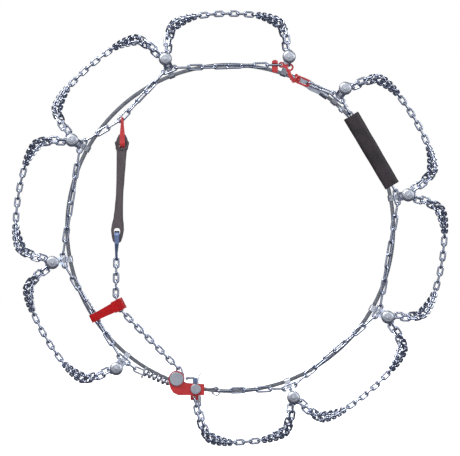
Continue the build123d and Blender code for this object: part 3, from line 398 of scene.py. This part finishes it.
def make_sleeve(material, centre, line):
    """Soft flat tube with a wall, a slight taper and slack waves along it."""
    around, rings = SLEEVE_MESH
    out = Vector((0, -1, 0))
    side = line.cross(out).normalized()
    shells = []
    for inset in (0.0, SLEEVE_WALL):
        shell = []
        for r in range(rings):
            t = r / (rings - 1)
            along = centre + line * ((2 * t - 1) * SLEEVE_HALF * MM)
            ripple = SLEEVE_RIPPLE * math.sin(t * SLEEVE_WAVES) * math.sin(math.pi * t)
            half_w = (SLEEVE_WIDTH[0] + (SLEEVE_WIDTH[1] - SLEEVE_WIDTH[0]) * t) / 2 - inset + ripple * 0.5
            half_d = (SLEEVE_DEPTH[0] + (SLEEVE_DEPTH[1] - SLEEVE_DEPTH[0]) * t) / 2 - inset + ripple
            for across, depth in superellipse(around, half_w, half_d, SLEEVE_CORNER):
                shell.append(along + side * (across * MM) + out * (depth * MM))
        shells.append(shell)
    points = shells[0] + shells[1]
    faces = tube_faces(rings, around)
    shift = len(shells[0])
    faces += [tuple(shift + i for i in reversed(face)) for face in tube_faces(rings, around)]
    for ring in (0, rings - 1):
        for k in range(around):
            n = (k + 1) % around
            a, b = ring * around + k, ring * around + n
            quad = (a, a + shift, b + shift, b)
            faces.append(quad if ring == 0 else tuple(reversed(quad)))
    return mesh_object("soft_sleeve", points, faces, material)


def make_spring(material, start, end):
    """Coil spring as a swept wire from the block to the pull eye."""
    line = (end - start).normalized()
    length = (end - start).length
    side = line.orthogonal().normalized()
    other = line.cross(side)
    steps, around = TURN_STEPS * SPRING_TURNS, WIRE_POINTS
    points = []
    for k in range(steps + 1):
        t = k / steps
        a = 2 * math.pi * SPRING_TURNS * t
        radial = side * math.cos(a) + other * math.sin(a)
        centre = start + line * (length * t) + radial * (SPRING_RADIUS * MM)
        for m in range(around):
            b = 2 * math.pi * m / around
            points.append(centre + (radial * math.cos(b) + line * math.sin(b)) * (SPRING_WIRE * MM))
    faces = tube_faces(steps + 1, around)
    faces.append(tuple(range(around)))
    faces.append(tuple(reversed(range(len(points) - around, len(points)))))
    return mesh_object("pull_spring_coil", points, faces, material)


# ---------------------------------------------------------------- studio
def pick(nodes, links, flag, off, on):
    """Chooses between two colours by a 0-1 flag; each is a colour or the output of a node."""
    made = nodes.new("ShaderNodeMix")
    made.data_type = "RGBA"
    links.new(flag, made.inputs["Factor"])
    for socket, value in ((made.inputs["A"], off), (made.inputs["B"], on)):
        if isinstance(value, tuple):
            socket.default_value = (*value, 1)
        else:
            links.new(value, socket)
    return made.outputs["Result"]


def paper_material():
    """White paper to the camera, but dark in reflections, which gives bright metal its dark edges."""
    made, nodes, links, shader = new_material("studio paper")
    paper = noise(nodes, links, 3.0)
    white = ramp(nodes, links, paper, (0.93, 0.93, 0.94), (0.96, 0.96, 0.965))
    rays = nodes.new("ShaderNodeLightPath")
    seen = pick(nodes, links, rays.outputs["Is Glossy Ray"], white, SKY_BACK)
    links.new(seen, shader.inputs["Base Color"])
    coords = nodes.new("ShaderNodeTexCoord")
    distance = nodes.new("ShaderNodeVectorMath")
    distance.operation = "LENGTH"
    links.new(coords.outputs["Object"], distance.inputs[0])
    glow = nodes.new("ShaderNodeMath")
    glow.operation = "MULTIPLY"
    links.new(rays.outputs["Is Camera Ray"], glow.inputs[0])
    links.new(span(nodes, links, distance.outputs["Value"], PAPER_GLOW, 1.0, *GLOW_RISE), glow.inputs[1])
    links.new(glow.outputs["Value"], shader.inputs["Emission Strength"])
    shader.inputs["Emission Color"].default_value = (1, 1, 1, 1)
    shader.inputs["Roughness"].default_value = 0.9
    return made


def make_floor(height):
    """Round sheet of pale paper under the chain."""
    angles = [2 * math.pi * k / FLOOR_SIDES for k in range(FLOOR_SIDES)]
    points = [(FLOOR_RADIUS * math.cos(a), FLOOR_RADIUS * math.sin(a), height) for a in angles]
    sheet = mesh_object("studio_paper", points, [tuple(range(FLOOR_SIDES))], paper_material())


def area_light(name, place, size, power, color):
    """Soft rectangular light aimed at the wheel's centre."""
    data = bpy.data.lights.new(name, "AREA")
    data.shape = "RECTANGLE"
    data.size, data.size_y = size
    data.energy = power
    data.color = color
    lamp = bpy.data.objects.new(name, data)
    lamp.location = place
    lamp.rotation_euler = (-Vector(place)).to_track_quat("-Z", "Y").to_euler()
    bpy.context.scene.collection.objects.link(lamp)


def light_studio():
    """Three soft lamps, and a sky that is white to the camera, pale in front for metal, dim for the rest."""
    for name, place, size, power, color in LAMPS:
        area_light(name, place, size, power, color)
    world = bpy.data.worlds.new("sky")
    bpy.context.scene.world = world
    world.use_nodes = True
    nodes, links = world.node_tree.nodes, world.node_tree.links
    coords = nodes.new("ShaderNodeTexCoord")
    split = nodes.new("ShaderNodeSeparateXYZ")
    links.new(coords.outputs["Generated"], split.inputs["Vector"])
    front = span(nodes, links, split.outputs["Y"], 1.0, 0.0, -1.0, 0.0)
    mirrored = ramp(nodes, links, front, SKY_BACK, SKY_FRONT, 0.15, 0.8)
    dim = ramp(nodes, links, span(nodes, links, split.outputs["Z"], 0.0, 1.0), SKY_LOW, SKY_HIGH, 0.0, 0.85)
    rays = nodes.new("ShaderNodeLightPath")
    lit = pick(nodes, links, rays.outputs["Is Glossy Ray"], dim, mirrored)
    seen = pick(nodes, links, rays.outputs["Is Camera Ray"], lit, (1.0, 1.0, 1.0))
    links.new(seen, nodes["Background"].inputs["Color"])
    nodes["Background"].inputs["Strength"].default_value = 1.0


def place_camera():
    """Long lens on the axle, level with the hub."""
    data = bpy.data.cameras.new("camera")
    camera = bpy.data.objects.new("camera", data)
    bpy.context.scene.collection.objects.link(camera)
    reach = CAMERA_DISTANCE + SIDE_Y
    data.angle = 2 * math.atan(VIEW_WIDTH / 2 / reach)
    data.clip_end = 100
    camera.location = (-VIEW_X, -CAMERA_DISTANCE, 0)
    camera.rotation_euler = (math.radians(90), 0, 0)
    bpy.context.scene.camera = camera


# ---------------------------------------------------------------- build
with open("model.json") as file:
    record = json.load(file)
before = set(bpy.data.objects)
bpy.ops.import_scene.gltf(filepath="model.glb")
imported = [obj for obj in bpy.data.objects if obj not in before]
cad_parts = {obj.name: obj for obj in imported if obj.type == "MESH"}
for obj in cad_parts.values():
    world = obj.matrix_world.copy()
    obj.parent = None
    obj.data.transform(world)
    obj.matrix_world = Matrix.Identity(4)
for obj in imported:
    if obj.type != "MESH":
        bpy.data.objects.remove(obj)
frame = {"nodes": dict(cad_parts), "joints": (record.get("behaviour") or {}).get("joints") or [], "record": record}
bpy.context.scene.view_settings.view_transform = "Standard"
rest_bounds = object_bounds()
materials = make_materials()
slot_of = {entry["node"]: entry["material_slot"] for entry in frame["record"]["subparts"]}
for name, node in frame["nodes"].items():
    node.data.materials.clear()
    node.data.materials.append(materials[slot_of[name]])

joints = {joint["name"]: joint for joint in frame["joints"]}

strap = make_rubber(materials["rubber"])
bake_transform(strap)
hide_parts("rubber_tensioner")
for bead in make_lip(materials["rubber"]):
    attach(bead, "net")

low, high = (Vector(corner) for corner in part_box("chain_sleeve"))
slide = Vector(joints["sleeve_slide"]["axis"]).normalized()
sleeve = make_sleeve(materials["sleeve"], (low + high) / 2, slide)
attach(sleeve, "sleeve")
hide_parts("chain_sleeve")

pull = Vector(joints["spring_stretch"]["axis"]).normalized()
low, high = (Vector(corner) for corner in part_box("tension_spring"))
middle = (low + high) / 2
half_length = (high - low).dot(Vector((abs(pull.x), 0, abs(pull.z)))) / 2 - SPRING_END * MM
block_end, eye_end = middle - pull * half_length, middle + pull * half_length
coil = make_spring(materials["spring_steel"], block_end, eye_end)
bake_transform(coil)
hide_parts("tension_spring")

make_floor(rest_bounds[0][2] - FLOOR_GAP)
light_studio()
place_camera()
